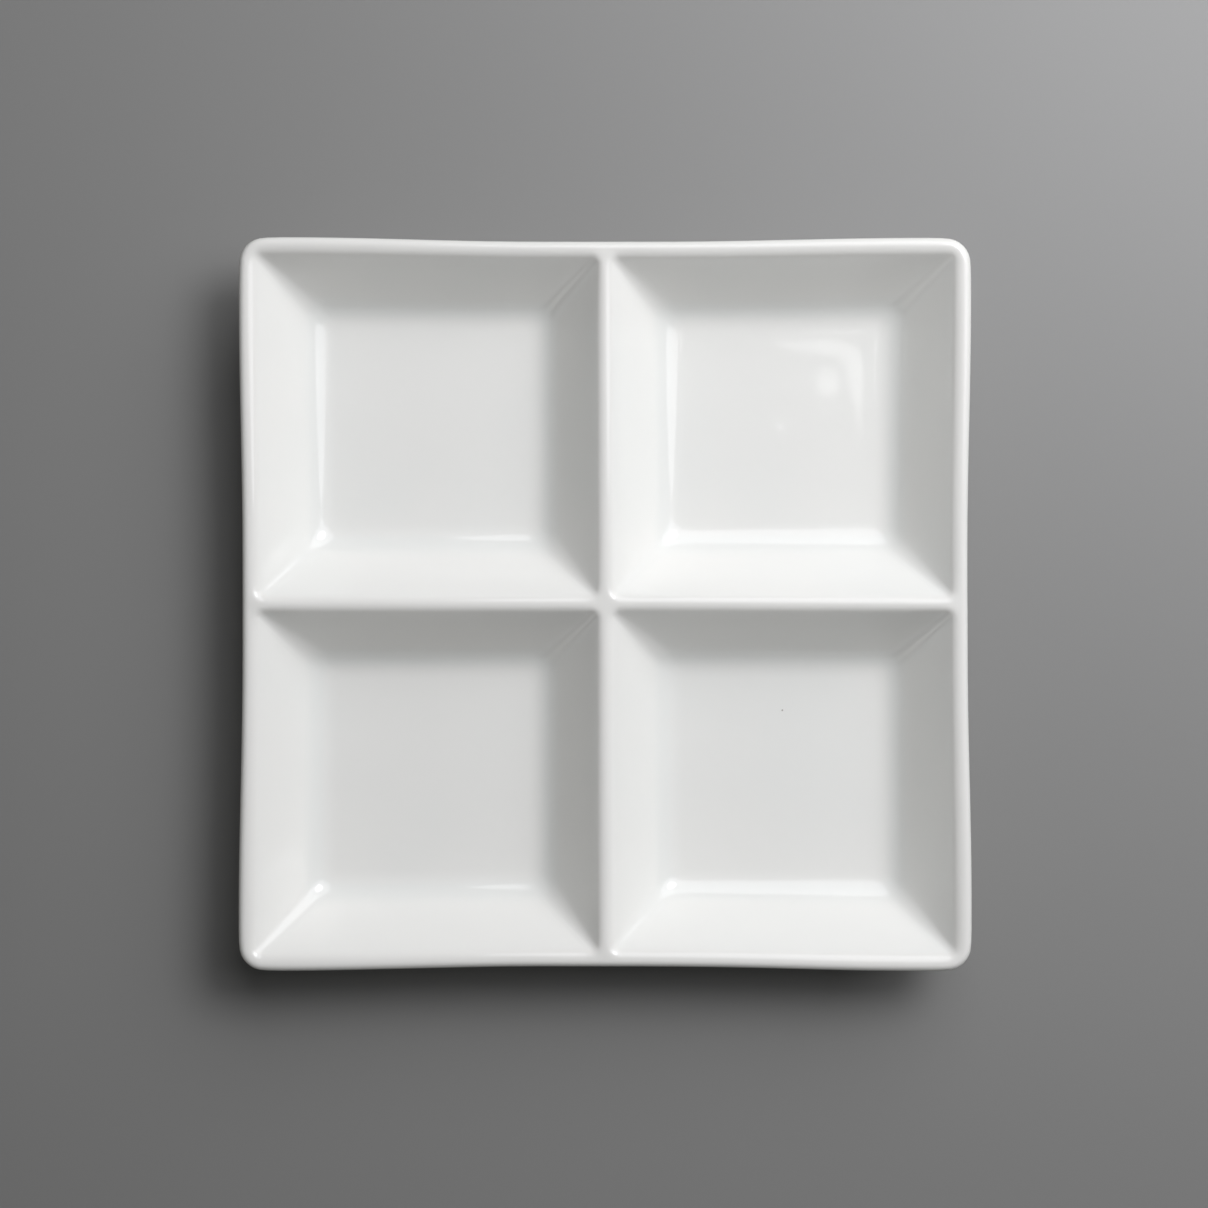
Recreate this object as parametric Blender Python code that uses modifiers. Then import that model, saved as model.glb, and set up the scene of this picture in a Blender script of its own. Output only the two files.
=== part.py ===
"""Square porcelain plate with four square wells.

One fired porcelain body carries a thin coat of glaze. Each well stands on a bare foot ring,
which parts the coat from the patch of glaze inside the ring. Every skin is lofted through
rings over one quarter of the plate, from the well's floor over the crests and down to the
foot, and two mirrors make the whole plate.
"""

from math import cos, pi, radians, sin

import bmesh
import bpy

# Plan of the plate, in metres
PLATE_SIDE = 0.200
CORNER_RADIUS = 0.007
SIDE_BOW = 0.0011

# Wells, walls and crests, in metres and degrees
WELL_DEPTH = 0.0185
WALL_SLOPE = 50.5
BODY_THICKNESS = 0.0047
RIM_RADIUS = 0.0020
DIVIDER_RADIUS = 0.0031
DIVIDER_DROP = 0.0006
FLOOR_FILLET = 0.0100
MOUTH_CORNER_RADIUS = 0.0020
FLOOR_CORNER_RADIUS = 0.0050
FLAT_CORNER_RADIUS = 0.0020
GROOVE_RADIUS = 0.0030

# Foot ring under each well
FOOT_HEIGHT = 0.0048
FOOT_WIDTH = 0.0042
FOOT_INSET = 0.0015
FOOT_CORNER_RADIUS = 0.0058
FOOT_ROOT_RADIUS = 0.0012
FOOT_ROUNDING = 0.0005

# Glaze: its thickness, the gap to the body and the height where the wiped foot begins
GLAZE_THICKNESS = 0.0003
GLAZE_GAP = 0.0003
GLAZE_LINE = 0.0009

# Finishes: linear colours and roughness
BISCUIT_COLOUR = (0.86, 0.84, 0.80)
BISCUIT_ROUGHNESS = 0.60
GLAZE_COLOUR = (0.88, 0.88, 0.87)
GLAZE_ROUGHNESS = 0.08

# The sides are straight up to the first share of their half length and bow out to the second
BOW_START = 0.15
BOW_END = 0.85
BOW_POWER = 4

# Facets in the rounded stretches, and stations along a divider and along an outer side
FILLET_STEPS = 4
CREST_STEPS = 3
RIM_STEPS = 4
GROOVE_STEPS = 2
FOOT_STEPS = 2
CORNER_STEPS = 3
DIVIDER_STATIONS = (0.85,)
SIDE_STATIONS = (0.25, 0.50, 0.75)
MERGE_DISTANCE = 1e-6

# A pointed ring draws the corners of the ring before it to a point, all but the outer one
POINTED = -1
OUTER_CORNER = 2

# Sizes that follow from the ones above
HALF_SIDE = PLATE_SIDE / 2
SLOPE = radians(WALL_SLOPE)
FLOOR_HEIGHT = FOOT_HEIGHT + BODY_THICKNESS
RIM_HEIGHT = FLOOR_HEIGHT + WELL_DEPTH
DIVIDER_HEIGHT = RIM_HEIGHT - DIVIDER_DROP
FILLET_HEIGHT = FLOOR_HEIGHT + FLOOR_FILLET
UNDER_FILLET = FLOOR_FILLET + BODY_THICKNESS
BODY_OFFSET = GLAZE_THICKNESS + GLAZE_GAP
PAD_RADIUS = MOUTH_CORNER_RADIUS + DIVIDER_RADIUS * sin(SLOPE)

# The rim's bead: the inner radius closes a wall of even thickness over the outer one
RIM_OUTER = min(RIM_RADIUS, BODY_THICKNESS / 2)
RIM_INNER = (BODY_THICKNESS - RIM_OUTER * (1 + cos(SLOPE))) / (1 - cos(SLOPE))
RIM_CREST = HALF_SIDE - RIM_OUTER
ROOT_RADIUS = min(FOOT_ROOT_RADIUS, (FOOT_HEIGHT - GLAZE_LINE) / 2)


def sweep(start, end, steps):
    """Evenly spaced values from start to end."""
    return [start + (end - start) * step / steps for step in range(steps + 1)]


def fillet_reach(crest_height, crest_radius):
    """Distance from a crest to the edge of the flat floor, across a wall at the slope."""
    drop = crest_height - crest_radius - FILLET_HEIGHT
    return (crest_radius + FLOOR_FILLET + drop * cos(SLOPE)) / sin(SLOPE)


DIVIDER_REACH = fillet_reach(DIVIDER_HEIGHT, DIVIDER_RADIUS)
RIM_REACH = fillet_reach(RIM_HEIGHT, RIM_INNER)


# A profile is a list of points: the distance from its crest into the well, the height, and
# the plan radius of the ring's corners there. An offset moves the whole skin into the wall.

def fillet_points(reach, radius, angles):
    """An arc round the floor fillet's centre, inside the well or under it."""
    widening = (FLOOR_CORNER_RADIUS - FLAT_CORNER_RADIUS) / (FLOOR_FILLET * sin(SLOPE))
    points = []
    for angle in angles:
        across = radius * sin(angle)
        corner = FLAT_CORNER_RADIUS + widening * across
        points.append((reach - across, FILLET_HEIGHT - radius * cos(angle), corner))
    return points


def foot_points(reach, offset):
    """The shoulder, root fillet and outer face of the foot, down to the glaze line."""
    face = reach + FOOT_INSET
    corner_centre = face + FOOT_CORNER_RADIUS
    points = []
    for angle in sweep(0, pi / 2, FOOT_STEPS):
        distance = face - ROOT_RADIUS + (ROOT_RADIUS + offset) * sin(angle)
        height = FOOT_HEIGHT - ROOT_RADIUS + (ROOT_RADIUS + offset) * cos(angle)
        points.append((distance, height, corner_centre - distance))
    points.append((face + offset, GLAZE_LINE, FOOT_CORNER_RADIUS - offset))
    return points


def base_points(reach, offset):
    """The inner face of the foot, from the glaze line up to the edge of the base panel."""
    face = reach + FOOT_INSET + FOOT_WIDTH
    corner_centre = reach + FOOT_INSET + FOOT_CORNER_RADIUS
    points = [(face - offset, GLAZE_LINE, corner_centre - face + offset)]
    for angle in sweep(-pi / 2, 0, FOOT_STEPS):
        distance = face + ROOT_RADIUS + (ROOT_RADIUS + offset) * sin(angle)
        height = FOOT_HEIGHT - ROOT_RADIUS + (ROOT_RADIUS + offset) * cos(angle)
        points.append((distance, height, corner_centre - distance))
    return points


def bare_foot_points(reach, offset):
    """The rounded bottom of the foot ring, flat on the table."""
    outer = reach + FOOT_INSET + offset
    inner = reach + FOOT_INSET + FOOT_WIDTH - offset
    rounding = min(FOOT_ROUNDING, (inner - outer) / 3)
    corner_centre = reach + FOOT_INSET + FOOT_CORNER_RADIUS
    points = []
    for centre, start in ((outer + rounding, -pi / 2), (inner - rounding, -pi)):
        for angle in sweep(start, start - pi / 2, FOOT_STEPS):
            distance = centre + rounding * sin(angle)
            points.append((distance, rounding + rounding * cos(angle), corner_centre - distance))
    return points


def divider_profile(offset):
    """A divider's half section, from the well's floor over its crest and down its groove."""
    points = fillet_points(DIVIDER_REACH, FLOOR_FILLET + offset, sweep(0, SLOPE, FILLET_STEPS))
    crest_radius = DIVIDER_RADIUS - offset
    for angle in sweep(SLOPE, 0, CREST_STEPS):
        distance = crest_radius * sin(angle)
        height = DIVIDER_HEIGHT - DIVIDER_RADIUS + crest_radius * cos(angle)
        points.append((distance, height, PAD_RADIUS - distance))

    # down the middle plane, from the flat pads at the crossings to the top of the groove
    centre_drop = (BODY_THICKNESS + GROOVE_RADIUS - DIVIDER_RADIUS) / cos(SLOPE)
    groove_centre = DIVIDER_HEIGHT - DIVIDER_RADIUS - centre_drop
    groove_radius = GROOVE_RADIUS + offset
    groove_top = groove_centre + groove_radius
    drop = sweep(DIVIDER_HEIGHT - offset, groove_top, RIM_STEPS + 1)
    points.append((0, drop[0], POINTED))
    for height in drop[1:]:
        points.append((0, height, 0))

    under_corner = MOUTH_CORNER_RADIUS / sin(SLOPE) + BODY_THICKNESS - offset
    for angle in sweep(0, SLOPE, GROOVE_STEPS)[1:]:
        height = groove_centre + groove_radius * cos(angle)
        points.append((groove_radius * sin(angle), height, sin(angle) * under_corner))
    points += fillet_points(DIVIDER_REACH, UNDER_FILLET - offset, sweep(SLOPE, 0, FILLET_STEPS))
    return points + foot_points(DIVIDER_REACH, offset)


def rim_profile(offset):
    """The rim's section, point for point level with the divider's below its bead."""
    points = fillet_points(RIM_REACH, FLOOR_FILLET + offset, sweep(0, SLOPE, FILLET_STEPS))
    corner_centre = CORNER_RADIUS - RIM_OUTER
    inner_radius = RIM_INNER - offset
    for angle in sweep(SLOPE, 0, CREST_STEPS):
        distance = inner_radius * sin(angle)
        height = RIM_HEIGHT - RIM_INNER + inner_radius * cos(angle)
        points.append((distance, height, max(corner_centre - distance, 0)))
    outer_radius = RIM_OUTER - offset
    for angle in sweep(0, SLOPE - pi, RIM_STEPS):
        distance = outer_radius * sin(angle)
        height = RIM_HEIGHT - RIM_OUTER + outer_radius * cos(angle)
        points.append((distance, height, corner_centre - distance))

    # down the outer wall, at the heights of the divider's groove
    under = fillet_points(RIM_REACH, UNDER_FILLET - offset, sweep(SLOPE, 0, FILLET_STEPS))
    wall_top = points[-1]
    wall_foot = under[0]
    first = len(points)
    for groove_point in divider_profile(offset)[first:first + GROOVE_STEPS + 1]:
        share = (groove_point[1] - wall_top[1]) / (wall_foot[1] - wall_top[1])
        points.append(tuple(a + (b - a) * share for a, b in zip(wall_top, wall_foot)))
    return points + under + foot_points(RIM_REACH, offset)


def bowed(x, y):
    """Where a plan point lies once the sides bow in between the corner tips."""
    def pull(across, along):
        share = (along / HALF_SIDE - BOW_START) / (BOW_END - BOW_START)
        share = min(max(share, 0), 1)
        flare = share * share * (3 - 2 * share)
        return SIDE_BOW * (across / HALF_SIDE) ** BOW_POWER * (1 - flare)
    return x - pull(x, y), y - pull(y, x)


def ring(divider_point, rim_point):
    """A rounded square over one well, at one station of the two profiles."""
    low, low_height, inner_corner = divider_point
    reach, high_height, outer_corner = rim_point
    high = RIM_CREST - reach
    pointed = inner_corner == POINTED
    if pointed:
        inner_corner = PAD_RADIUS
    from_centre = DIVIDER_STATIONS
    to_centre = [1 - station for station in reversed(DIVIDER_STATIONS)]
    corners = (
        (low, low, inner_corner, low_height, from_centre, low_height),
        (high, low, inner_corner, high_height, SIDE_STATIONS, high_height),
        (high, high, outer_corner, high_height, SIDE_STATIONS, high_height),
        (low, high, inner_corner, high_height, to_centre, low_height),
    )
    arcs = []
    for number, (x, y, radius, height, _, _) in enumerate(corners):
        centre_x = x + radius if x == low else x - radius
        centre_y = y + radius if y == low else y - radius
        start = pi + number * pi / 2
        turned = sweep(start, start + pi / 2, CORNER_STEPS)
        arc = [(centre_x + radius * cos(a), centre_y + radius * sin(a), height) for a in turned]
        if pointed and number != OUTER_CORNER:
            arc[1:-1] = [(x, y, height)] * (len(arc) - 2)
        arcs.append(arc)
    points = []
    for number, corner in enumerate(corners):
        stations, side_height = corner[4:]
        begin = arcs[number][-1]
        end = arcs[(number + 1) % len(arcs)][0]
        points += arcs[number]
        for share in stations:
            x, y = (a + (b - a) * share for a, b in zip(begin[:2], end[:2]))
            points.append((x, y, side_height))
    return [(*bowed(x, y), height) for x, y, height in points]


def rings(divider_points, rim_points):
    """The rings of a whole skin."""
    return [ring(*pair) for pair in zip(divider_points, rim_points)]


def lofted(name, skin):
    """A quarter's mesh through a list of rings, capped at both ends and open at the mirrors."""
    columns = len(skin[0])
    mesh = bmesh.new()
    sheet = bmesh.ops.create_grid(mesh, x_segments=columns, y_segments=len(skin) - 1, size=1)
    for number, vertex in enumerate(sheet["verts"]):
        row, column = divmod(number, columns + 1)
        vertex.co = skin[row][column % columns]
    bmesh.ops.remove_doubles(mesh, verts=mesh.verts, dist=MERGE_DISTANCE)
    bmesh.ops.holes_fill(mesh, edges=mesh.edges, sides=0)
    bmesh.ops.recalc_face_normals(mesh, faces=mesh.faces)
    on_mirrors = []
    for face in mesh.faces:
        for axis in (0, 1):
            if all(abs(vertex.co[axis]) < MERGE_DISTANCE for vertex in face.verts):
                on_mirrors.append(face)
                break
    bmesh.ops.delete(mesh, geom=on_mirrors, context="FACES")
    data = bpy.data.meshes.new(name)
    mesh.to_mesh(data)
    mesh.free()
    data.shade_smooth()
    return data


def finish_material(name, colour, roughness):
    """A plain ceramic finish."""
    material = bpy.data.materials.new(name)
    material.use_nodes = True
    shader = material.node_tree.nodes["Principled BSDF"]
    shader.inputs["Base Color"].default_value = (*colour, 1)
    shader.inputs["Roughness"].default_value = roughness
    shader.inputs["Metallic"].default_value = 0
    return material


def add_piece(name, data, material, collection):
    """One named object of the plate."""
    piece = bpy.data.objects.new(name, data)
    data.materials.clear()
    data.materials.append(material)
    collection.objects.link(piece)
    return piece


def mirror(piece):
    """Make the whole plate from its quarter."""
    modifier = piece.modifiers.new("Four quarters", "MIRROR")
    modifier.use_axis = (True, True, False)
    modifier.merge_threshold = MERGE_DISTANCE


def porcelain_body(collection):
    """The fired body: the whole section under the glaze, and the bare foot rings."""
    sides = []
    for profile, reach in ((divider_profile, DIVIDER_REACH), (rim_profile, RIM_REACH)):
        foot = bare_foot_points(reach, BODY_OFFSET) + base_points(reach, BODY_OFFSET)
        sides.append(profile(BODY_OFFSET) + foot)
    material = finish_material("biscuit", BISCUIT_COLOUR, BISCUIT_ROUGHNESS)
    mirror(add_piece("porcelain_body", lofted("porcelain_body", rings(*sides)), material, collection))


def glaze_coat(collection):
    """The coat over everything outside the foot rings: its outer skin, then its inner one."""
    sides = []
    for profile in (divider_profile, rim_profile):
        sides.append(profile(0) + profile(GLAZE_THICKNESS)[::-1])
    material = finish_material("white glaze", GLAZE_COLOUR, GLAZE_ROUGHNESS)
    mirror(add_piece("glaze_coat", lofted("glaze_coat", rings(*sides)), material, collection))


def base_glaze(collection):
    """The patches of glaze inside the foot rings, one quarter turn apart."""
    sides = []
    for reach in (DIVIDER_REACH, RIM_REACH):
        sides.append(base_points(reach, 0)[::-1] + base_points(reach, GLAZE_THICKNESS))
    data = lofted("base_glaze", rings(*sides))
    material = finish_material("base glaze", GLAZE_COLOUR, GLAZE_ROUGHNESS)
    places = ("back_right", "back_left", "front_left", "front_right")
    for turns, place in enumerate(places):
        patch = add_piece("base_glaze_" + place, data, material, collection)
        patch.rotation_euler.z = turns * pi / 2


def main():
    """Clear the scene and build the plate."""
    for item in list(bpy.data.objects):
        bpy.data.objects.remove(item)
    collection = bpy.data.collections.new("divided_plate")
    bpy.context.scene.collection.children.link(collection)
    porcelain_body(collection)
    glaze_coat(collection)
    base_glaze(collection)


if __name__ == "__main__":
    main()
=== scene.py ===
"""Looks of a square porcelain plate with four wells.

The fired body, the coat of glaze and the patches of glaze under the wells are modelled here in
fine detail, over the same section as the solids, and a plain studio shows them from above.
Each skin starts as a grid on the floor of one well. Its edge is extruded ring by ring over the
crests, and two mirrors make the whole plate.
"""

from math import cos, pi, radians, sin

import bmesh
import bpy
from bpy.props import FloatProperty, FloatVectorProperty, IntProperty, PointerProperty
from bpy.types import Operator, Panel, PropertyGroup
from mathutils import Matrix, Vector


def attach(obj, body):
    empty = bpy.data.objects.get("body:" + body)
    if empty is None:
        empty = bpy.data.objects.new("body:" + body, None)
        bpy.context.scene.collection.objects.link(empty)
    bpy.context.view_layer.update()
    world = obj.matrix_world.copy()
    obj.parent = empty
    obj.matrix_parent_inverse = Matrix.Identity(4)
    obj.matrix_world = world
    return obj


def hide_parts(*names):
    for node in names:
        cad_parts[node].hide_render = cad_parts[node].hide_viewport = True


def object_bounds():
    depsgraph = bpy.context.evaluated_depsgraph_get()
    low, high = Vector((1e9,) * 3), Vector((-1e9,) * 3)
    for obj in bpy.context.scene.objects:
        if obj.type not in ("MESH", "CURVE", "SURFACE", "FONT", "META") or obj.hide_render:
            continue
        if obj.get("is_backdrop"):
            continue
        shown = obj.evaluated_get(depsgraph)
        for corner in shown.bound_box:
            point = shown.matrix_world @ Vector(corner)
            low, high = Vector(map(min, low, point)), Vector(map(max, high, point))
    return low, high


bl_info = {
    "name": "Divided plate",
    "version": (1, 0, 0),
    "blender": (4, 5, 0),
    "location": "3D View > Sidebar > Divided plate",
    "description": "Glazed porcelain plate with four wells, in a plain studio",
    "category": "Add Mesh",
}

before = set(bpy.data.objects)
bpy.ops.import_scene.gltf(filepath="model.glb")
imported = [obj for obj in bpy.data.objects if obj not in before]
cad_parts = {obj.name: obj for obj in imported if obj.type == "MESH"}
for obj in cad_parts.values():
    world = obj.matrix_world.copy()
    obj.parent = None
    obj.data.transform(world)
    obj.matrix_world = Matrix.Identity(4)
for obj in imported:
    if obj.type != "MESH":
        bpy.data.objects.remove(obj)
CAD_LOW, CAD_HIGH = (Vector(corner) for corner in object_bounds())
BASE_PATCHES = (
    "base_glaze_back_right",
    "base_glaze_back_left",
    "base_glaze_front_left",
    "base_glaze_front_right",
)

# A ring that draws to a point, the number of its outer corner, and how fast the bow fades inwards
POINTED = -1
OUTER_CORNER = 2
BOW_FADE = 4

# The grid that a skin starts from, and how close points are when they merge, in metres
GRID_SIDE = 2
MERGE_DISTANCE = 1e-6
MIRROR_DISTANCE = 1e-5

# Size of the kiln's slow changes, in metres
WAVINESS_SIZE = 0.030
WARP_SIZE_ACROSS = 0.110
WARP_SIZE_ALONG = 0.130

# Where glaze pools, above the floor of a well, and where it draws thin, below the rim, in metres
POOL_START = 0.0009
POOL_FULL = 0.0012
POOL_END = 0.0060
THIN_START = 0.0022
THIN_FULL = 0.0004

# How much the marks of the glaze show, and the share of the speck cells that hold a speck
POOL_SHARE = 0.55
PATCH_SHARE = 0.30
THIN_SHARE = 0.6
SPECK_SHARE = 0.6
COAT_SPECKS = 0.10
BASE_SPECKS = 0.25

# Noise of the glaze: waves in a metre, and the part of the noise that counts
PATCH_WAVES = 24.0
PATCH_RANGE = (0.40, 0.72)
SPECK_CELLS = 62.0
SPECK_EDGE = (0.010, 0.020)
HAZE_WAVES = 60.0
HAZE_RANGE = (0.35, 0.70)
RIPPLE_WAVES = 85.0
GRAIN_WAVES = 900.0
GRAIN_DEPTH = 0.012
PIT_DEPTH = 0.15

# Gloss and relief of the glaze
GLAZE_ROUGHNESS = (0.025, 0.045)
THIN_ROUGHNESS = 0.03
GLAZE_RELIEF = 0.0001
GLAZE_RELIEF_STRENGTH = 0.15
GLAZE_IOR = 1.5

# Bare biscuit: rub marks, grain, roughness and relief
RUB_WAVES = 70.0
RUB_RANGE = (0.52, 0.75)
RUB_SHARE = 0.55
BISCUIT_WAVES = 2600.0
BISCUIT_RANGE = (0.3, 0.7)
BISCUIT_ROUGHNESS = (0.55, 0.75)
BISCUIT_RELIEF = 0.00006
BISCUIT_RELIEF_STRENGTH = 0.5

# Studio floor and lens
FLOOR_SIDE = 12
FLOOR_ROUGHNESS = 0.50
FLOOR_GLOSS = 0.8
SENSOR_WIDTH = 36.0
NEAREST_SEEN = 0.01

# Softbox: its bright tube, that tube's soft edge, and the strength beyond it.
# Places and distances on a lamp's face run from 0 to 1, to the right and up.
TUBE_POINT = (0.43, 0.60, 0)
TUBE_EDGE = (0.155, 0.195)
BEYOND_TUBE = 0.22

# Small lamp: how square the hook's corner is, its edges, its tapered ends, the blob and the spot
HOOK_POWER = 8.0
HOOK_INNER_EDGE = (0.20, 0.35)
HOOK_OUTER_EDGE = (0.80, 1.00)
TAPER_POINT = (0, -0.025, 0)
TAPER_EDGE = (0.93, 1.01)
BLOB_POINT = (0.60, 0.57, 0)
BLOB_EDGE = (0.08, 0.19)
SPOT_POINT = (0.07, 0.10, 0)
SPOT_EDGE = (0.03, 0.07)
SPOT_STRENGTH = 1.2

WHITE = (1, 1, 1, 1)


# Sizes and colours that a user would change

def length(name, description, default):
    """A size in metres."""
    return FloatProperty(
        name=name, description=description, default=default, unit="LENGTH", precision=5
    )


def angle(name, description, degrees):
    """An angle, shown in degrees."""
    return FloatProperty(
        name=name, description=description, default=radians(degrees), subtype="ANGLE"
    )


def colour(name, description, red, green, blue):
    """A linear colour."""
    return FloatVectorProperty(
        name=name,
        description=description,
        default=(red, green, blue),
        subtype="COLOR",
        min=0,
        max=1,
    )


def steps(name, description, default):
    """A number of facets."""
    return IntProperty(name=name, description=description, default=default, min=1, max=64)


class PlateSizes(PropertyGroup):
    """Sizes of the plate's plan and section."""

    side: length("Side", "Plate over its corner tips", CAD_HIGH.x - CAD_LOW.x)
    height: length("Height", "Rim above the table", CAD_HIGH.z - CAD_LOW.z)
    corner_radius: length("Corner radius", "Plan radius of the outer corners", 0.0070)
    side_bow: length("Side bow", "How far the sides pull in between the tips", 0.0011)
    bow_start: FloatProperty(
        name="Bow start", description="Share of a half side that stays straight", default=0.15
    )
    bow_end: FloatProperty(
        name="Bow end", description="Share of a half side where the tip begins", default=0.85
    )
    well_depth: length("Well depth", "Rim above the floor of a well", 0.0185)
    wall_slope: angle("Wall slope", "Slope of the walls against the floor", 50.5)
    thickness: length("Thickness", "Body and glaze together", 0.0047)
    rim_radius: length("Rim radius", "Outer radius of the rim's bead", 0.0020)
    divider_radius: length("Divider radius", "Radius of the dividers' crests", 0.0031)
    divider_drop: length("Divider drop", "Crest of the dividers below the rim", 0.0006)
    divider_flare: FloatProperty(
        name="Divider flare", description="Share of a divider that rises to the rim", default=0.18
    )
    floor_fillet: length("Floor fillet", "Radius between floor and walls", 0.0100)
    mouth_corner: length("Mouth corner", "Plan radius of a well's corners at its mouth", 0.0020)
    floor_corner: length("Floor corner", "Plan radius of a well's corners over the fillet", 0.0050)
    flat_corner: length("Flat corner", "Plan radius of the flat floor's corners", 0.0020)
    groove_radius: length("Groove radius", "Radius of the grooves under the dividers", 0.0030)
    foot_height: length("Foot height", "Base of a well above the table", 0.0048)
    foot_width: length("Foot width", "Foot ring, across", 0.0042)
    foot_inset: length("Foot inset", "Foot ring inside the edge of the floor", 0.0015)
    foot_corner: length("Foot corner", "Plan radius of the foot ring's corners", 0.0058)
    foot_root: length("Foot root", "Fillet between base and foot ring", 0.0012)
    foot_rounding: length("Foot rounding", "Rounding of the bare foot", 0.0005)
    glaze_thickness: length("Glaze thickness", "Coat over the body", 0.0003)
    glaze_line: length("Glaze line", "Where the wiped foot begins, above the table", 0.0009)
    waviness: length("Kiln waviness", "How far the fired surface wanders", 0.00008)
    warp: length("Kiln warp", "How far the fired outline wanders", 0.0005)


class PlateDetail(PropertyGroup):
    """How finely the skins are built."""

    side_steps: steps("Side steps", "Cells along a side of a well", 10)
    corner_steps: steps("Corner steps", "Cells round a corner, an even number", 4)
    fillet_steps: steps("Fillet steps", "Rings over a fillet", 5)
    wall_steps: steps("Wall steps", "Rings down a straight wall", 3)
    crest_steps: steps("Crest steps", "Rings up a crest", 4)
    bead_steps: steps("Bead steps", "Rings over the outside of the rim", 7)
    groove_steps: steps("Groove steps", "Rings over half a groove", 3)
    foot_steps: steps("Foot steps", "Rings over a rounding of the foot", 3)


class PlateFinishes(PropertyGroup):
    """Colours of the plate and its studio."""

    glaze: colour("Glaze", "White porcelain under clear glaze", 0.930, 0.925, 0.890)
    pooled: colour("Pooled glaze", "Glaze where it runs together", 0.890, 0.905, 0.875)
    thin: colour("Thin glaze", "Body showing through on the crests", 0.935, 0.922, 0.882)
    speck: colour("Speck", "Iron specks in the glaze", 0.200, 0.150, 0.110)
    biscuit: colour("Biscuit", "Bare fired porcelain", 0.860, 0.840, 0.800)
    rubbed: colour("Rubbed biscuit", "Grey marks where the foot has rubbed", 0.560, 0.540, 0.510)
    floor: colour("Floor", "Studio floor", 0.262, 0.260, 0.252)
    softbox: colour("Softbox", "Tint of the large lamp", 0.965, 0.970, 1.000)
    card: colour("Card", "Tint of the reflecting card", 1.000, 0.980, 0.900)
    surround: colour("Surround", "Dim light from all round", 0.040, 0.041, 0.042)


class StudioSettings(PropertyGroup):
    """Camera and lamps."""

    camera_height: length("Camera height", "Lens above the table", 0.695)
    camera_x: length("Camera x", "Lens to the right of the plate's middle", 0.0140)
    camera_y: length("Camera y", "Lens behind the plate's middle", 0.0390)
    focal_length: FloatProperty(
        name="Focal length", description="In millimetres on a 36 mm sensor", default=73.10
    )
    frame_x: FloatProperty(
        name="Frame x", description="Plate right of the frame's middle, in frames", default=0.0008
    )
    frame_y: FloatProperty(
        name="Frame y", description="Plate above the frame's middle, in frames", default=-0.0004
    )
    softbox_width: length("Softbox width", "Oval lamp, across", 1.20)
    softbox_height: length("Softbox height", "Oval lamp, up its face", 1.02)
    softbox_distance: length("Softbox distance", "From the plate to the lamp", 0.96)
    softbox_azimuth: angle("Softbox azimuth", "Round from the right, towards the back", 51.3)
    softbox_elevation: angle("Softbox elevation", "Above the table", 49)
    softbox_power: FloatProperty(name="Softbox power", description="In watts", default=32.8)
    card_width: length("Card width", "Dim card across from the softbox", 0.36)
    card_height: length("Card height", "Dim card, from bottom to top", 0.40)
    card_distance: length("Card distance", "From the plate to the card", 1.20)
    card_azimuth: angle("Card azimuth", "Round from the right, towards the back", 225)
    card_elevation: angle("Card elevation", "Above the table", 15)
    card_power: FloatProperty(name="Card power", description="In watts", default=0.45)
    glint_x: length("Glint x", "Small lamp over the camera, to the right", 0.1182)
    glint_y: length("Glint y", "Small lamp over the camera, to the back", 0.0865)
    glint_height: length("Glint height", "Small lamp above the table", 0.900)
    glint_width: length("Glint width", "Small lamp, across", 0.060)
    glint_depth: length("Glint depth", "Small lamp, front to back", 0.060)
    glint_power: FloatProperty(name="Glint power", description="In watts", default=0.0235)


# The plate's section

def evenly(start, end, count):
    """Evenly spaced values from start to end."""
    return [start + (end - start) * step / count for step in range(count + 1)]


def smooth(share):
    """An eased step from 0 to 1."""
    share = min(max(share, 0), 1)
    return share * share * (3 - 2 * share)


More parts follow.
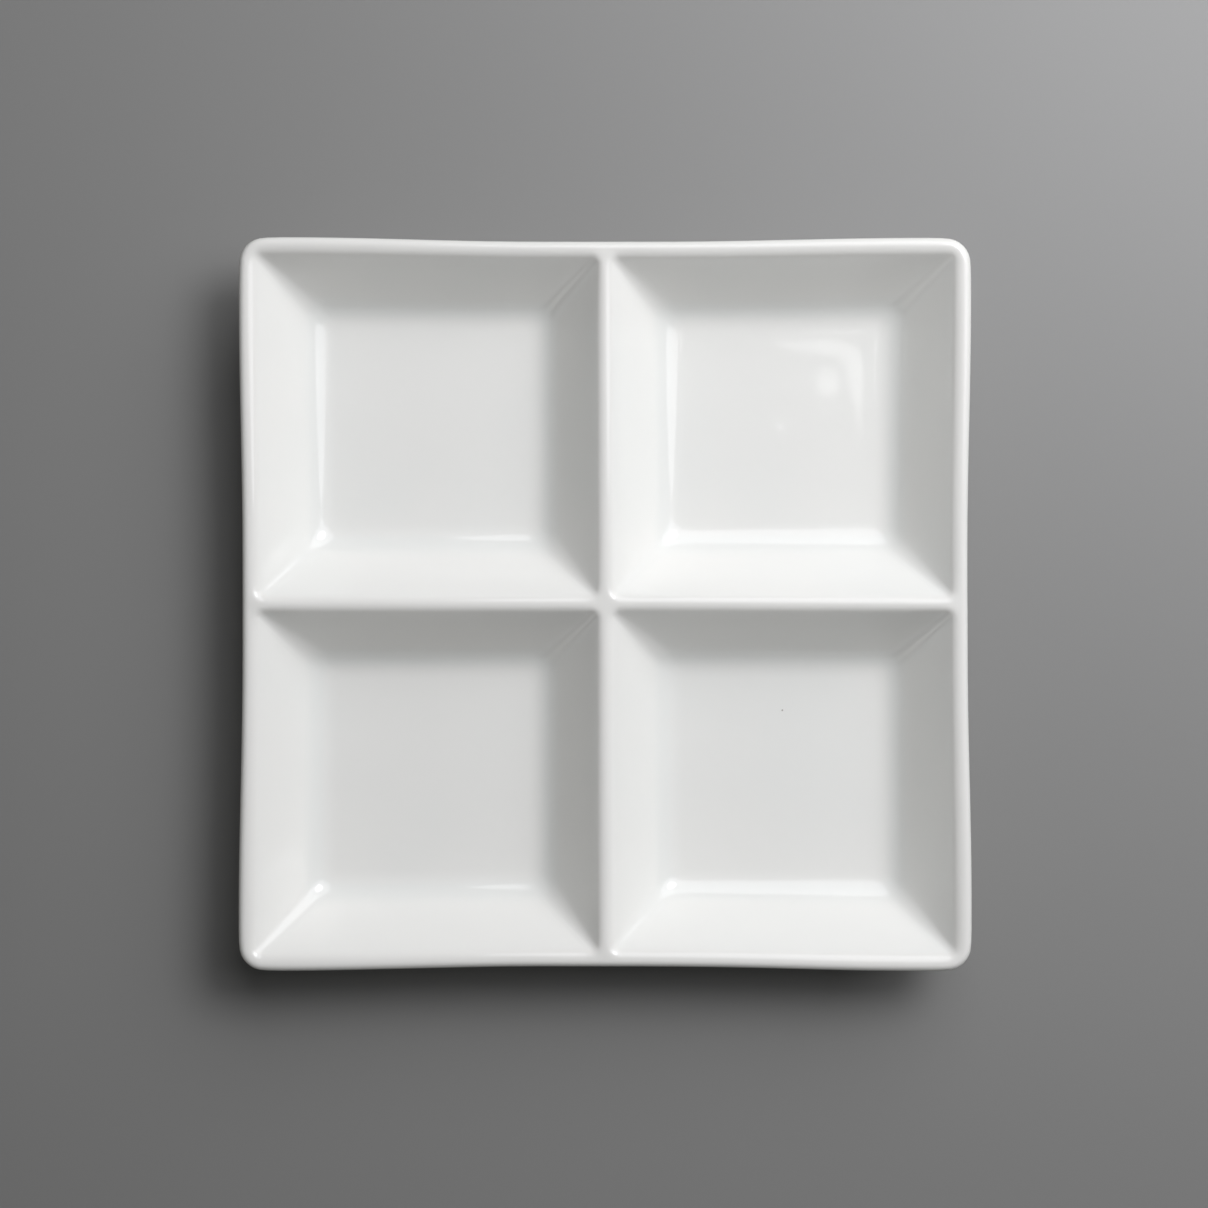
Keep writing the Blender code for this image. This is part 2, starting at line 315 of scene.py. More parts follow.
class Section:
    """Profiles of a divider and of the rim, from the floor of a well to its foot.

    A profile point is the distance from the crest into the well, the height, and the plan
    radius of the ring's corners there. A pointed ring draws the corners of the ring before it
    to a point, which leaves a flat pad. An offset moves the whole skin into the wall.
    """

    def __init__(self, sizes, detail):
        self.sizes = sizes
        self.detail = detail
        self.slope = sizes.wall_slope
        self.half_side = sizes.side / 2
        self.floor_height = sizes.height - sizes.well_depth
        self.fillet_height = self.floor_height + sizes.floor_fillet
        self.divider_height = sizes.height - sizes.divider_drop
        bead_wall = sizes.thickness - sizes.rim_radius * (1 + cos(self.slope))
        self.rim_inner = bead_wall / (1 - cos(self.slope))
        self.rim_crest = self.half_side - sizes.rim_radius
        self.divider_reach = self.fillet_reach(self.divider_height, sizes.divider_radius)
        self.rim_reach = self.fillet_reach(sizes.height, self.rim_inner)
        self.pad_radius = sizes.mouth_corner + sizes.divider_radius * sin(self.slope)

    def fillet_reach(self, crest_height, crest_radius):
        """Distance from a crest to the edge of the flat floor."""
        drop = crest_height - crest_radius - self.fillet_height
        run = crest_radius + self.sizes.floor_fillet + drop * cos(self.slope)
        return run / sin(self.slope)

    def fillet(self, reach, radius, angles):
        """An arc round the floor fillet's centre, inside the well or under it."""
        sizes = self.sizes
        widening = sizes.floor_corner - sizes.flat_corner
        widening /= sizes.floor_fillet * sin(self.slope)
        points = []
        for turn in angles:
            across = radius * sin(turn)
            height = self.fillet_height - radius * cos(turn)
            points.append((reach - across, height, sizes.flat_corner + widening * across))
        return points

    def wall(self, top, foot, count):
        """Points between the two ends of a straight wall."""
        points = []
        for share in evenly(0, 1, count)[1:-1]:
            points.append(tuple(a + (b - a) * share for a, b in zip(top, foot)))
        return points

    def foot_outside(self, reach, offset):
        """The shoulder, root fillet and outer face of the foot, down to the glaze line."""
        sizes = self.sizes
        face = reach + sizes.foot_inset
        corner_centre = face + sizes.foot_corner
        points = []
        for turn in evenly(0, pi / 2, self.detail.foot_steps):
            distance = face - sizes.foot_root + (sizes.foot_root + offset) * sin(turn)
            height = sizes.foot_height - sizes.foot_root + (sizes.foot_root + offset) * cos(turn)
            points.append((distance, height, corner_centre - distance))
        points.append((face + offset, sizes.glaze_line, sizes.foot_corner - offset))
        return points

    def foot_bottom(self, reach, offset):
        """The rounded bottom of the foot ring, flat on the table."""
        sizes = self.sizes
        outer = reach + sizes.foot_inset + offset
        inner = reach + sizes.foot_inset + sizes.foot_width - offset
        rounding = sizes.foot_rounding
        corner_centre = reach + sizes.foot_inset + sizes.foot_corner
        points = []
        for centre, start in ((outer + rounding, -pi / 2), (inner - rounding, -pi)):
            for turn in evenly(start, start - pi / 2, self.detail.foot_steps):
                distance = centre + rounding * sin(turn)
                height = rounding + rounding * cos(turn)
                points.append((distance, height, corner_centre - distance))
        return points

    def foot_inside(self, reach, offset):
        """The inner face of the foot, from the glaze line up to the edge of the base."""
        sizes = self.sizes
        face = reach + sizes.foot_inset + sizes.foot_width
        corner_centre = reach + sizes.foot_inset + sizes.foot_corner
        points = [(face - offset, sizes.glaze_line, corner_centre - face + offset)]
        for turn in evenly(-pi / 2, 0, self.detail.foot_steps):
            distance = face + sizes.foot_root + (sizes.foot_root + offset) * sin(turn)
            height = sizes.foot_height - sizes.foot_root + (sizes.foot_root + offset) * cos(turn)
            points.append((distance, height, corner_centre - distance))
        return points

    def divider(self, offset):
        """Half a divider, from the floor over its crest and down its groove to the foot."""
        sizes = self.sizes
        detail = self.detail
        reach = self.divider_reach
        inside = self.fillet(
            reach, sizes.floor_fillet + offset, evenly(0, self.slope, detail.fillet_steps)
        )
        crest_radius = sizes.divider_radius - offset
        crest_centre = self.divider_height - sizes.divider_radius
        crest = []
        for turn in evenly(self.slope, 0, detail.crest_steps):
            distance = crest_radius * sin(turn)
            height = crest_centre + crest_radius * cos(turn)
            crest.append((distance, height, self.pad_radius - distance))

        # on the mirror plane, from the flat pads at the crossings down to the top of the groove
        centre_drop = sizes.thickness + sizes.groove_radius - sizes.divider_radius
        groove_centre = crest_centre - centre_drop / cos(self.slope)
        groove_radius = sizes.groove_radius + offset
        groove_top = groove_centre + groove_radius
        drop = evenly(self.divider_height - offset, groove_top, detail.bead_steps + 1)
        middle = [(0, drop[0], POINTED)] + [(0, height, 0) for height in drop[1:]]

        under_corner = sizes.mouth_corner / sin(self.slope) + sizes.thickness - offset
        groove = []
        for turn in evenly(0, self.slope, detail.groove_steps)[1:]:
            height = groove_centre + groove_radius * cos(turn)
            groove.append((groove_radius * sin(turn), height, sin(turn) * under_corner))
        under = self.fillet(
            reach,
            sizes.floor_fillet + sizes.thickness - offset,
            evenly(self.slope, 0, detail.fillet_steps),
        )
        return (
            inside
            + self.wall(inside[-1], crest[0], detail.wall_steps)
            + crest
            + middle
            + groove
            + self.wall(groove[-1], under[0], detail.wall_steps)
            + under
            + self.foot_outside(reach, offset)
        )

    def rim(self, offset):
        """The rim, point for point level with the divider below its bead."""
        sizes = self.sizes
        detail = self.detail
        reach = self.rim_reach
        inside = self.fillet(
            reach, sizes.floor_fillet + offset, evenly(0, self.slope, detail.fillet_steps)
        )
        corner_centre = sizes.corner_radius - sizes.rim_radius
        inner_radius = self.rim_inner - offset
        crest = []
        for turn in evenly(self.slope, 0, detail.crest_steps):
            distance = inner_radius * sin(turn)
            height = sizes.height - self.rim_inner + inner_radius * cos(turn)
            crest.append((distance, height, max(corner_centre - distance, 0)))
        outer_radius = sizes.rim_radius - offset
        bead = []
        for turn in evenly(0, self.slope - pi, detail.bead_steps):
            distance = outer_radius * sin(turn)
            height = sizes.height - sizes.rim_radius + outer_radius * cos(turn)
            bead.append((distance, height, corner_centre - distance))

        # down the outer wall, at the heights of the divider's groove
        under = self.fillet(
            reach,
            sizes.floor_fillet + sizes.thickness - offset,
            evenly(self.slope, 0, detail.fillet_steps),
        )
        top = inside + self.wall(inside[-1], crest[0], detail.wall_steps) + crest + bead
        first = len(top)
        last = first + detail.groove_steps + 1
        outside = []
        for level in self.divider(offset)[first:last]:
            share = (level[1] - bead[-1][1]) / (under[0][1] - bead[-1][1])
            outside.append(tuple(a + (b - a) * share for a, b in zip(bead[-1], under[0])))
        return (
            top
            + outside
            + self.wall(outside[-1], under[0], detail.wall_steps)
            + under
            + self.foot_outside(reach, offset)
        )

    def bowed(self, x, y):
        """Where a plan point lies once the sides bow in between the corner tips."""
        sizes = self.sizes

        def pull(across, along):
            share = along / self.half_side - sizes.bow_start
            flare = smooth(share / (sizes.bow_end - sizes.bow_start))
            return sizes.side_bow * (across / self.half_side) ** BOW_FADE * (1 - flare)

        return x - pull(x, y), y - pull(y, x)

    def ring(self, divider_point, rim_point):
        """A rounded square over one well, from the middle of its innermost corner."""
        low, low_height, inner_corner = divider_point
        reach, high_height, outer_corner = rim_point
        high = self.rim_crest - reach
        pointed = inner_corner == POINTED
        if pointed:
            inner_corner = self.pad_radius
        corners = (
            (low, low, inner_corner, low_height),
            (high, low, inner_corner, high_height),
            (high, high, outer_corner, high_height),
            (low, high, inner_corner, high_height),
        )
        arcs = []
        for number, (x, y, radius, height) in enumerate(corners):
            centre_x = x + radius if x == low else x - radius
            centre_y = y + radius if y == low else y - radius
            start = pi + number * pi / 2
            arc = []
            for turn in evenly(start, start + pi / 2, self.detail.corner_steps):
                arc.append((centre_x + radius * cos(turn), centre_y + radius * sin(turn), height))
            if pointed and number != OUTER_CORNER:
                arc[1:-1] = [(x, y, height)] * (len(arc) - 2)
            arcs.append(arc)
        points = []
        for number, arc in enumerate(arcs):
            following = arcs[(number + 1) % len(arcs)]
            points += arc[:-1]
            for share in evenly(0, 1, self.detail.side_steps)[:-1]:
                x, y = (a + (b - a) * share for a, b in zip(arc[-1][:2], following[0][:2]))
                points.append((x, y, self.side_height(share, arc[-1][2], following[0][2])))
        middle = self.detail.corner_steps // 2
        points = points[middle:] + points[:middle]
        return [(*self.bowed(x, y), height) for x, y, height in points]

    def side_height(self, share, start, end):
        """Height along a side. A divider keeps its own height until it flares to the rim."""
        flare = self.sizes.divider_flare
        if start < end:
            return start + (end - start) * smooth((share - 1 + flare) / flare)
        return end + (start - end) * smooth((flare - share) / flare)

    def rings(self, divider_points, rim_points):
        """The rings of a whole skin."""
        return [self.ring(*pair) for pair in zip(divider_points, rim_points)]


# Modelling steps that the pieces share

def start_piece(name, outline):
    """A flat grid of quads whose edge follows the outline, left in edit mode."""
    bpy.ops.object.select_all(action="DESELECT")
    cells = len(outline) // 4
    bpy.ops.mesh.primitive_grid_add(x_subdivisions=cells, y_subdivisions=cells, size=GRID_SIDE)
    piece = bpy.context.object
    piece.name = name
    piece.data.name = name
    bpy.ops.object.mode_set(mode="EDIT")
    bpy.ops.mesh.select_mode(type="EDGE")
    mesh = bmesh.from_edit_mesh(piece.data)
    column = mesh.verts.layers.int.new("column")
    for vertex in mesh.verts:
        along = round((vertex.co.x / GRID_SIDE + 0.5) * cells)
        up = round((vertex.co.y / GRID_SIDE + 0.5) * cells)
        if up == 0:
            number = along
        elif along == cells:
            number = cells + up
        elif up == cells:
            number = 3 * cells - along
        elif along == 0:
            number = 4 * cells - up
        else:
            vertex.co = (outline[along][0], outline[-up][1], outline[0][2])
            continue
        vertex[column] = number
        vertex.co = outline[number]
    bpy.ops.mesh.select_all(action="DESELECT")
    for edge in mesh.edges:
        edge.select_set(edge.is_boundary)
    bmesh.update_edit_mesh(piece.data)
    return piece


def extrude_to(piece, outline):
    """Extrude the selected edge loop and lay it on the next outline."""
    bpy.ops.mesh.extrude_region_move()
    mesh = bmesh.from_edit_mesh(piece.data)
    column = mesh.verts.layers.int["column"]
    for vertex in mesh.verts:
        if vertex.select:
            vertex.co = outline[vertex[column]]
    bmesh.update_edit_mesh(piece.data)


def close_corners(piece):
    """Merge corners that came to a point, and drop the faces that lie on the mirror planes."""
    bpy.ops.mesh.select_all(action="SELECT")
    bpy.ops.mesh.remove_doubles(threshold=MERGE_DISTANCE)
    bpy.ops.mesh.select_mode(type="FACE")
    bpy.ops.mesh.select_all(action="DESELECT")
    mesh = bmesh.from_edit_mesh(piece.data)
    for face in mesh.faces:
        for axis in (0, 1):
            if all(abs(vertex.co[axis]) < MERGE_DISTANCE for vertex in face.verts):
                face.select_set(True)
    bmesh.update_edit_mesh(piece.data)
    bpy.ops.mesh.delete(type="FACE")


def apply_modifier(piece, kind, **settings):
    """Add one modifier with its settings and apply it."""
    modifier = piece.modifiers.new(kind.title(), kind)
    for name, value in settings.items():
        setattr(modifier, name, value)
    bpy.ops.object.modifier_apply(modifier=modifier.name)


def mirror_quarter(piece):
    """Make the whole plate from its quarter, with every face outwards."""
    bpy.ops.object.mode_set(mode="OBJECT")
    apply_modifier(
        piece, "MIRROR", use_axis=(True, True, False), merge_threshold=MIRROR_DISTANCE
    )
    face_outwards()


def face_outwards():
    """Recalculate the normals of the active piece."""
    bpy.ops.object.mode_set(mode="EDIT")
    bpy.ops.mesh.select_all(action="SELECT")
    bpy.ops.mesh.normals_make_consistent(inside=False)
    bpy.ops.object.mode_set(mode="OBJECT")


def clouds(name, size):
    """A soft procedural noise for the marks of the kiln."""
    texture = bpy.data.textures.new(name, "CLOUDS")
    texture.noise_scale = size
    texture.noise_depth = 1
    return texture


def fire(piece, sizes):
    """Let the surface and the outline wander a little, as in the kiln, above the foot."""
    raised = piece.vertex_groups.new(name="above the foot")
    # the foot stays true, and the marks grow over twice its height above it
    growth = 2 * sizes.foot_height
    for vertex in piece.data.vertices:
        weight = smooth((vertex.co.z - sizes.foot_height) / growth)
        raised.add([vertex.index], weight, "REPLACE")
    moves = (
        ("kiln waviness", WAVINESS_SIZE, "NORMAL", sizes.waviness),
        ("kiln warp across", WARP_SIZE_ACROSS, "X", sizes.warp),
        ("kiln warp along", WARP_SIZE_ALONG, "Y", sizes.warp),
    )
    for name, size, direction, strength in moves:
        apply_modifier(
            piece,
            "DISPLACE",
            texture=clouds(name, size),
            texture_coords="LOCAL",
            direction=direction,
            strength=strength,
            mid_level=0.5,
            vertex_group="above the foot",
        )
    piece.vertex_groups.clear()


def finish_piece(piece, node, material):
    """Smooth the piece, give it its material and let it stand for its solid."""
    bpy.ops.object.shade_smooth()
    if "column" in piece.data.attributes:
        piece.data.attributes.remove(piece.data.attributes["column"])
    piece.data.materials.clear()
    piece.data.materials.append(material)
    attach(piece, "root")
    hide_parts(node)


# Materials

def add_node(tree, kind, place, **values):
    """A shader node at a place in the editor, with values for its properties or inputs."""
    node = tree.nodes.new(kind)
    node.location = place
    for name, value in values.items():
        label = name.replace("_", " ").title()
        if hasattr(node, name):
            setattr(node, name, value)
        else:
            node.inputs[label].default_value = value
    return node


def ramp(tree, place, source, low, high, start=0.0, end=1.0):
    """A value mapped smoothly from one range to another."""
    node = add_node(tree, "ShaderNodeMapRange", place, interpolation_type="SMOOTHSTEP")
    node.inputs["From Min"].default_value = low
    node.inputs["From Max"].default_value = high
    node.inputs["To Min"].default_value = start
    node.inputs["To Max"].default_value = end
    tree.links.new(source, node.inputs["Value"])
    return node.outputs["Result"]


def noise(tree, place, position, waves, detail):
    """Soft noise over a piece."""
    node = add_node(tree, "ShaderNodeTexNoise", place, scale=waves, detail=detail)
    tree.links.new(position, node.inputs["Vector"])
    return node.outputs["Fac"]


def calculate(tree, place, operation, first, second):
    """Arithmetic on two values, either of which may be a number."""
    node = add_node(tree, "ShaderNodeMath", place, operation=operation)
    for socket, value in zip(node.inputs, (first, second)):
        if isinstance(value, (int, float)):
            socket.default_value = value
        else:
            tree.links.new(value, socket)
    return node.outputs["Value"]


def blend_colours(tree, place, share, first, second):
    """A mix of two colours, each a socket or three numbers."""
    node = add_node(tree, "ShaderNodeMix", place, data_type="RGBA")
    tree.links.new(share, node.inputs["Factor"])
    sockets = {socket.identifier: socket for socket in node.inputs}
    for label, value in (("A_Color", first), ("B_Color", second)):
        if isinstance(value, bpy.types.NodeSocket):
            tree.links.new(value, sockets[label])
        else:
            sockets[label].default_value = (*value, 1)
    return next(socket for socket in node.outputs if socket.identifier == "Result_Color")


def new_group(name, inputs, outputs):
    """An empty shader node group with its sockets."""
    group = bpy.data.node_groups.new(name, "ShaderNodeTree")
    for label, kind, default in inputs:
        socket = group.interface.new_socket(label, in_out="INPUT", socket_type=kind)
        socket.default_value = default
    for label, kind in outputs:
        group.interface.new_socket(label, in_out="OUTPUT", socket_type=kind)
    return group


def glaze_skin_group(section):
    """Tone, gloss and ripple of a fired glaze, with pools in the fillets and thin crests."""
    group = new_group(
        "Glaze skin",
        (
            ("Glaze", "NodeSocketColor", WHITE),
            ("Pooled", "NodeSocketColor", WHITE),
            ("Thin", "NodeSocketColor", WHITE),
            ("Speck", "NodeSocketColor", WHITE),
            ("Speck Share", "NodeSocketFloat", COAT_SPECKS),
        ),
        (
            ("Colour", "NodeSocketColor"),
            ("Roughness", "NodeSocketFloat"),
            ("Height", "NodeSocketFloat"),
        ),
    )
    given = add_node(group, "NodeGroupInput", (-1200, 0))
    result = add_node(group, "NodeGroupOutput", (1000, 0))
    position = add_node(group, "ShaderNodeTexCoord", (-1200, -300)).outputs["Object"]
    parts = add_node(group, "ShaderNodeSeparateXYZ", (-1000, 300))
    group.links.new(position, parts.inputs["Vector"])
    height = parts.outputs["Z"]

    # glaze runs together over the fillets and draws thin over the crests
    floor = section.floor_height
    rim = section.sizes.height
    rising = ramp(group, (-800, 500), height, floor, floor + POOL_START)
    falling = ramp(group, (-800, 300), height, floor + POOL_FULL, floor + POOL_END, 1.0, 0.0)
    pool = calculate(group, (-600, 400), "MULTIPLY", rising, falling)
    pool_share = calculate(group, (-500, 400), "MULTIPLY", pool, POOL_SHARE)
    crest = ramp(group, (-800, 100), height, rim - THIN_START, rim - THIN_FULL)

    # slow changes of tone
    tone = noise(group, (-800, -100), position, PATCH_WAVES, detail=2.0)
    patches = ramp(group, (-600, -100), tone, *PATCH_RANGE, 0.0, PATCH_SHARE)
    pooled = calculate(group, (-400, 200), "MAXIMUM", pool_share, patches)
    colour_one = blend_colours(
        group, (-200, 200), pooled, given.outputs["Glaze"], given.outputs["Pooled"]
    )
    thinned = calculate(group, (-400, 0), "MULTIPLY", crest, THIN_SHARE)
    colour_two = blend_colours(group, (0, 200), thinned, colour_one, given.outputs["Thin"])

    # a few iron specks
    cells = add_node(group, "ShaderNodeTexVoronoi", (-800, -400), scale=SPECK_CELLS)
    group.links.new(position, cells.inputs["Vector"])
    spot = ramp(group, (-600, -400), cells.outputs["Distance"], *SPECK_EDGE, 1.0, 0.0)
    pick = add_node(group, "ShaderNodeSeparateColor", (-600, -600))
    group.links.new(cells.outputs["Color"], pick.inputs["Color"])
    chosen = calculate(
        group, (-400, -600), "LESS_THAN", pick.outputs["Red"], given.outputs["Speck Share"]
    )
    specks = calculate(group, (-200, -500), "MULTIPLY", spot, chosen)
    soft_specks = calculate(group, (0, -500), "MULTIPLY", specks, SPECK_SHARE)
    colour_three = blend_colours(
        group, (200, 200), soft_specks, colour_two, given.outputs["Speck"]
    )
    group.links.new(colour_three, result.inputs["Colour"])

    # gloss, a little lower where the glaze is thin
    haze = noise(group, (0, -100), position, HAZE_WAVES, detail=3.0)
    gloss = ramp(group, (200, -100), haze, *HAZE_RANGE, *GLAZE_ROUGHNESS)
    dulled = calculate(group, (200, -300), "MULTIPLY", crest, THIN_ROUGHNESS)
    roughness = calculate(group, (400, -200), "ADD", gloss, dulled)
    group.links.new(roughness, result.inputs["Roughness"])

    # ripple of the fired surface, with a pit at each speck
    ripple = noise(group, (0, -700), position, RIPPLE_WAVES, detail=1.0)
    grain = noise(group, (0, -900), position, GRAIN_WAVES, detail=2.0)
    fine = calculate(group, (200, -900), "MULTIPLY", grain, GRAIN_DEPTH)
    wave = calculate(group, (400, -800), "ADD", ripple, fine)
    pit = calculate(group, (200, -600), "MULTIPLY", specks, PIT_DEPTH)
    relief = calculate(group, (600, -700), "SUBTRACT", wave, pit)
    group.links.new(relief, result.inputs["Height"])
    return group


def new_material(name):
    """An empty material with its tree and Principled shader."""
    material = bpy.data.materials.new(name)
    material.use_nodes = True
    return material, material.node_tree, material.node_tree.nodes["Principled BSDF"]


def add_relief(tree, shader, height, depth, strength):
    """Bump the shader's normal by a height."""
    bump = add_node(tree, "ShaderNodeBump", (-300, -200), strength=strength, distance=depth)
    tree.links.new(height, bump.inputs["Height"])
    tree.links.new(bump.outputs["Normal"], shader.inputs["Normal"])


def glaze_material(name, finishes, section, speck_share):
    """White porcelain under a clear gloss glaze."""
    material, tree, shader = new_material(name)
    group = bpy.data.node_groups.get("Glaze skin") or glaze_skin_group(section)
    skin = add_node(tree, "ShaderNodeGroup", (-600, 200), node_tree=group)
    skin.inputs["Glaze"].default_value = (*finishes.glaze, 1)
    skin.inputs["Pooled"].default_value = (*finishes.pooled, 1)
    skin.inputs["Thin"].default_value = (*finishes.thin, 1)
    skin.inputs["Speck"].default_value = (*finishes.speck, 1)
    skin.inputs["Speck Share"].default_value = speck_share
    tree.links.new(skin.outputs["Colour"], shader.inputs["Base Color"])
    tree.links.new(skin.outputs["Roughness"], shader.inputs["Roughness"])
    add_relief(tree, shader, skin.outputs["Height"], GLAZE_RELIEF, GLAZE_RELIEF_STRENGTH)
    shader.inputs["IOR"].default_value = GLAZE_IOR
    return material


def biscuit_material(finishes):
    """Bare fired porcelain: matt, fine grained and rubbed grey in places."""
    material, tree, shader = new_material("biscuit")
    position = add_node(tree, "ShaderNodeTexCoord", (-1000, 0)).outputs["Object"]
    rub = noise(tree, (-800, 200), position, RUB_WAVES, detail=5.0)
    marks = ramp(tree, (-600, 200), rub, *RUB_RANGE, 0.0, RUB_SHARE)
    base = blend_colours(tree, (-300, 200), marks, finishes.biscuit, finishes.rubbed)
    tree.links.new(base, shader.inputs["Base Color"])
    grain = noise(tree, (-800, -200), position, BISCUIT_WAVES, detail=3.0)
    rough = ramp(tree, (-600, -50), grain, *BISCUIT_RANGE, *BISCUIT_ROUGHNESS)
    tree.links.new(rough, shader.inputs["Roughness"])
    add_relief(tree, shader, grain, BISCUIT_RELIEF, BISCUIT_RELIEF_STRENGTH)
    return material


def floor_material(finishes):
    """Plain matt studio paper."""
    material, _, shader = new_material("studio floor")
    shader.inputs["Base Color"].default_value = (*finishes.floor, 1)
    shader.inputs["Roughness"].default_value = FLOOR_ROUGHNESS
    shader.inputs["Specular IOR Level"].default_value = FLOOR_GLOSS
    return material


def lamp_face(lamp):
    """A lamp's node tree and the place on its face, from 0 to 1 across and up."""
    lamp.use_nodes = True
    tree = lamp.node_tree
    return tree, add_node(tree, "ShaderNodeNewGeometry", (-1100, 0)).outputs["Parametric"]


def from_point(tree, place, face, point):
    """How far a place on a lamp's face lies from one point of it."""
    apart = add_node(tree, "ShaderNodeVectorMath", place, operation="DISTANCE")
    apart.inputs[1].default_value = point
    tree.links.new(face, apart.inputs[0])
    return apart.outputs["Value"]


def grade_softbox(lamp):
    """Make the softbox bright round its tube and dim towards its edge."""
    tree, face = lamp_face(lamp)
    apart = from_point(tree, (-700, 0), face, TUBE_POINT)
    strength = ramp(tree, (-400, 0), apart, *TUBE_EDGE, 1.0, BEYOND_TUBE)
    tree.links.new(strength, tree.nodes["Emission"].inputs["Strength"])


def shape_glint(lamp):
    """Leave of the small lamp a rounded hook along its right and back edges, a blob and a spot."""
    tree, face = lamp_face(lamp)
    parts = add_node(tree, "ShaderNodeSeparateXYZ", (-900, 300))
    tree.links.new(face, parts.inputs["Vector"])
    across = calculate(tree, (-700, 400), "POWER", parts.outputs["X"], HOOK_POWER)
    up = calculate(tree, (-700, 200), "POWER", parts.outputs["Y"], HOOK_POWER)
    rounded = calculate(tree, (-500, 300), "ADD", across, up)
    inner = ramp(tree, (-300, 400), rounded, *HOOK_INNER_EDGE)
    outer = ramp(tree, (-300, 200), rounded, *HOOK_OUTER_EDGE, 1.0, 0.0)
    band = calculate(tree, (-100, 300), "MULTIPLY", inner, outer)
    from_ends = from_point(tree, (-700, 0), face, TAPER_POINT)
    taper = ramp(tree, (-300, 0), from_ends, *TAPER_EDGE)
    hook = calculate(tree, (100, 200), "MULTIPLY", band, taper)
    from_blob = from_point(tree, (-700, -200), face, BLOB_POINT)
    blob = ramp(tree, (-300, -200), from_blob, *BLOB_EDGE, 1.0, 0.0)
    from_spot = from_point(tree, (-700, -400), face, SPOT_POINT)
    spot = ramp(tree, (-300, -400), from_spot, *SPOT_EDGE, SPOT_STRENGTH, 0.0)
    inside = calculate(tree, (100, -200), "MAXIMUM", blob, spot)
    strength = calculate(tree, (300, 0), "MAXIMUM", hook, inside)
    tree.links.new(strength, tree.nodes["Emission"].inputs["Strength"])


def toward_lamp(azimuth, elevation):
    """The way from the plate to a lamp, one metre long."""
    level = cos(elevation)
    return Vector((level * cos(azimuth), level * sin(azimuth), sin(elevation)))


# Operators

class DIVIDED_PLATE_OT_porcelain_body(Operator):
    """Model the fired body: floors, walls, dividers, grooves and the bare foot rings"""

    bl_idname = "divided_plate.porcelain_body"
    bl_label = "Porcelain body"
    bl_options = {"REGISTER", "UNDO"}

    def execute(self, context):
        plate = context.scene.divided_plate
        section = Section(plate.sizes, plate.detail)
        under_glaze = plate.sizes.glaze_thickness
        sides = []
        for profile, reach in (
            (section.divider, section.divider_reach),
            (section.rim, section.rim_reach),
        ):
            foot = section.foot_bottom(reach, under_glaze) + section.foot_inside(reach, under_glaze)
            sides.append(profile(under_glaze) + foot)
        skin = section.rings(*sides)
        piece = start_piece("fired_body", skin[0])
        for outline in skin[1:]:
            extrude_to(piece, outline)
        bpy.ops.mesh.edge_face_add()
        close_corners(piece)
        mirror_quarter(piece)
        fire(piece, plate.sizes)
        finish_piece(piece, "porcelain_body", biscuit_material(plate.finishes))
        return {"FINISHED"}


class DIVIDED_PLATE_OT_glaze_coat(Operator):
    """Model the coat of glaze over the top, the rim, the outer walls and the grooves"""

    bl_idname = "divided_plate.glaze_coat"
    bl_label = "Glaze coat"
    bl_options = {"REGISTER", "UNDO"}

    def execute(self, context):
        plate = context.scene.divided_plate
        section = Section(plate.sizes, plate.detail)
        skin = section.rings(section.divider(0), section.rim(0))
        piece = start_piece("glaze", skin[0])
        for outline in skin[1:]:
            extrude_to(piece, outline)
        close_corners(piece)
        mirror_quarter(piece)
        apply_modifier(piece, "SUBSURF", levels=1, render_levels=1)
        fire(piece, plate.sizes)
        apply_modifier(piece, "SOLIDIFY", thickness=plate.sizes.glaze_thickness, offset=-1)
        material = glaze_material("white glaze", plate.finishes, section, COAT_SPECKS)
        finish_piece(piece, "glaze_coat", material)
        return {"FINISHED"}


class DIVIDED_PLATE_OT_base_glaze(Operator):
    """Model the patch of glaze inside each foot ring"""

    bl_idname = "divided_plate.base_glaze"
    bl_label = "Base glaze"
    bl_options = {"REGISTER", "UNDO"}

    def execute(self, context):
        plate = context.scene.divided_plate
        section = Section(plate.sizes, plate.detail)
        sides = []
        for reach in (section.divider_reach, section.rim_reach):
            sides.append(section.foot_inside(reach, 0)[::-1])
        skin = section.rings(*sides)
        material = glaze_material("base glaze", plate.finishes, section, BASE_SPECKS)
        first = start_piece("base_patch", skin[0])
        for outline in skin[1:]:
            extrude_to(first, outline)
        bpy.ops.mesh.select_all(action="SELECT")
        bpy.ops.mesh.flip_normals()
        bpy.ops.object.mode_set(mode="OBJECT")
        apply_modifier(first, "SOLIDIFY", thickness=plate.sizes.glaze_thickness, offset=-1)
        for turns, node in enumerate(BASE_PATCHES):
            bpy.ops.object.select_all(action="DESELECT")
            patch = first.copy()
            patch.data = first.data.copy()
            patch.name = node.replace("base_glaze", "base_patch")
            patch.data.name = patch.name
            context.collection.objects.link(patch)
            patch.select_set(True)
            context.view_layer.objects.active = patch
            patch.rotation_euler.z = turns * pi / 2
            bpy.ops.object.transform_apply(location=False, rotation=True, scale=False)
            finish_piece(patch, node, material)
        bpy.data.objects.remove(first)
        return {"FINISHED"}


